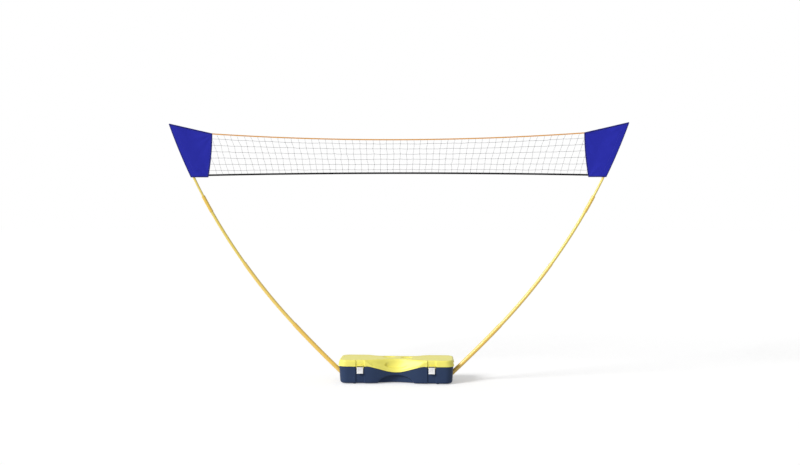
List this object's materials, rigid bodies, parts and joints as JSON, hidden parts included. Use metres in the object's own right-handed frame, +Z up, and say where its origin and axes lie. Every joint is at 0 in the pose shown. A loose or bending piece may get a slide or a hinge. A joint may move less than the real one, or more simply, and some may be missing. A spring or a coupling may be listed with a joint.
{
  "type": "badminton net",
  "caption": "Free-standing badminton net: bowed telescoping poles plug into the ends of a closed carrying case and stretch a net between fabric sleeves.",
  "frame": {"origin": "on the floor under the middle of the carrying case", "axes": "+X along the net to the right as seen from the latches, +Y from the latches to the hinges, +Z up"},
  "size_m": [2.9906, 0.2741, 1.679],
  "materials": {
    "navy_plastic": "satin moulded",
    "yellow_plastic": "satin moulded",
    "white_plastic": "satin moulded",
    "black_plastic": "satin moulded",
    "pole_yellow": "smooth coated tube",
    "steel": "plain",
    "rubber": "matte",
    "blue_fabric": "plain woven",
    "navy_binding": "ribbed binding tape",
    "orange_tape": "webbing",
    "black_tape": "webbing",
    "net_cord": "knotted twine"
  },
  "bodies": {
    "case": {"case_base": "navy_plastic", "hinge_pin_left": "steel", "hinge_pin_right": "steel", "foot_front_left": "rubber", "foot_front_right": "rubber", "foot_back_left": "rubber", "foot_back_right": "rubber", "pole_socket_left": "navy_plastic", "pole_socket_right": "navy_plastic", "top_tape": "orange_tape", "bottom_tape": "black_tape", "net_mesh": "net_cord"},
    "lid": {"case_lid": "yellow_plastic", "latch_pin_left": "steel", "latch_pin_right": "steel"},
    "latch_left": {"latch_left": "white_plastic"},
    "latch_right": {"latch_right": "white_plastic"},
    "pole_left": {"pole_lower_left": "pole_yellow", "pole_middle_left": "pole_yellow", "pole_upper_left": "pole_yellow", "pole_tip_left": "pole_yellow", "pole_collar_left": "pole_yellow", "pole_tip_cap_left": "black_plastic", "sleeve_left": "blue_fabric", "sleeve_binding_left": "navy_binding"},
    "pole_right": {"pole_lower_right": "pole_yellow", "pole_middle_right": "pole_yellow", "pole_upper_right": "pole_yellow", "pole_tip_right": "pole_yellow", "pole_collar_right": "pole_yellow", "pole_tip_cap_right": "black_plastic", "sleeve_right": "blue_fabric", "sleeve_binding_right": "navy_binding"},
    "button_left": {"pole_button_left": "steel"},
    "button_right": {"pole_button_right": "steel"}
  },
  "joints": [
    {"name": "lid_hinge", "type": "hinge", "parent": "case", "child": "lid", "pos_m": [0, 0.1326, 0.115], "axis": [-1, 0, 0], "range_deg": [0, 110]},
    {"name": "latch_left_hinge", "type": "hinge", "parent": "lid", "child": "latch_left", "pos_m": [-0.2295, -0.1256, 0.1048], "axis": [-1, 0, 0], "range_deg": [0, 100]},
    {"name": "latch_right_hinge", "type": "hinge", "parent": "lid", "child": "latch_right", "pos_m": [0.2295, -0.1256, 0.1048], "axis": [-1, 0, 0], "range_deg": [0, 100]},
    {"name": "pole_left_pull", "type": "slide", "parent": "case", "child": "pole_left", "axis": [-0.7278, 0, 0.6858], "range_m": [0, 0.05]},
    {"name": "pole_right_pull", "type": "slide", "parent": "case", "child": "pole_right", "axis": [0.7278, 0, 0.6858], "range_m": [0, 0.05]},
    {"name": "button_left_press", "type": "slide", "parent": "pole_left", "child": "button_left", "axis": [-0.8105, 0, -0.5857], "range_m": [0, 0.0025], "stiffness_N_per_m": 400, "springref_m": -0.001},
    {"name": "button_right_press", "type": "slide", "parent": "pole_right", "child": "button_right", "axis": [0.8105, 0, -0.5857], "range_m": [0, 0.0025], "stiffness_N_per_m": 400, "springref_m": -0.001}
  ]
}
